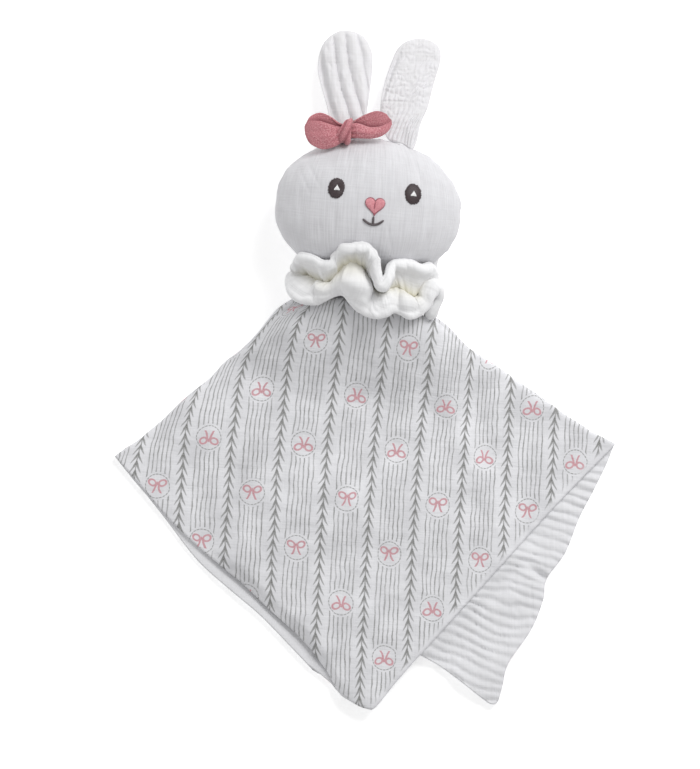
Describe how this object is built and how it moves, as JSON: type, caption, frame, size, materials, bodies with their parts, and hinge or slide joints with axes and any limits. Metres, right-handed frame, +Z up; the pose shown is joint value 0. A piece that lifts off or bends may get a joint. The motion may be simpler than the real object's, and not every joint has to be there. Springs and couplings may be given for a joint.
{
  "type": "bunny comforter soft toy",
  "caption": "Stuffed bunny head with padded ears, linen bow and gathered collar, sewn to the middle of a folded square muslin cloth; head and ears move on soft hinges.",
  "frame": {"origin": "middle of the toy's footprint, on the table it lies on", "axes": "+Y from the cloth to the ears, +Z up out of the face, +X to the viewer's right when the face is seen upright"},
  "size_m": [0.2522, 0.3474, 0.0513],
  "materials": {
    "head_muslin": "matte double muslin",
    "ear_muslin": "matte crinkled muslin",
    "fibre_filling": "loose polyester fibre",
    "bow_linen": "marled dusty pink linen",
    "eye_thread": "satin stitch",
    "white_thread": "satin stitch",
    "nose_thread": "satin stitch",
    "mouth_thread": "stem stitch",
    "collar_muslin": "matte gathered muslin",
    "printed_muslin": "matte muslin printed with grey stripes, sprigs and pink bows",
    "lining_gauze": "matte crinkled gauze"
  },
  "bodies": {
    "cloth": {"cloth_print": "printed_muslin", "cloth_lining": "lining_gauze"},
    "neck": {"neck_core": "head_muslin", "neck_thread": "white_thread", "collar_ruffle": "collar_muslin"},
    "head": {"head_face_panel": "head_muslin", "head_back_panel": "head_muslin", "head_stuffing": "fibre_filling", "bow_left_loop": "bow_linen", "bow_right_loop": "bow_linen", "bow_knot": "bow_linen", "left_eye": "eye_thread", "right_eye": "eye_thread", "left_eye_highlight": "white_thread", "right_eye_highlight": "white_thread", "nose": "nose_thread", "mouth_stem": "mouth_thread", "mouth_smile": "mouth_thread"},
    "left_ear": {"left_ear_front_panel": "ear_muslin", "left_ear_back_panel": "ear_muslin", "left_ear_wadding": "fibre_filling"},
    "right_ear": {"right_ear_front_panel": "ear_muslin", "right_ear_back_panel": "ear_muslin", "right_ear_wadding": "fibre_filling"}
  },
  "joints": [
    {"name": "neck_nod", "type": "hinge", "parent": "cloth", "child": "neck", "pos_m": [0.0016, 0.0408, 0.02], "axis": [1, 0, 0], "range_deg": [-30, 75], "deforming": ["collar_ruffle"]},
    {"name": "head_turn", "type": "hinge", "parent": "neck", "child": "head", "pos_m": [0.0016, 0.0488, 0.022], "axis": [0, 1, 0], "range_deg": [-45, 45], "deforming": ["collar_ruffle"]},
    {"name": "left_ear_flop", "type": "hinge", "parent": "head", "child": "left_ear", "pos_m": [-0.00888, 0.11803, 0.025], "axis": [0.9962, 0.0872, 0], "range_deg": [-38, 15]},
    {"name": "right_ear_flop", "type": "hinge", "parent": "head", "child": "right_ear", "pos_m": [0.01902, 0.11544, 0.025], "axis": [0.9278, -0.373, 0], "range_deg": [-38, 45]}
  ]
}
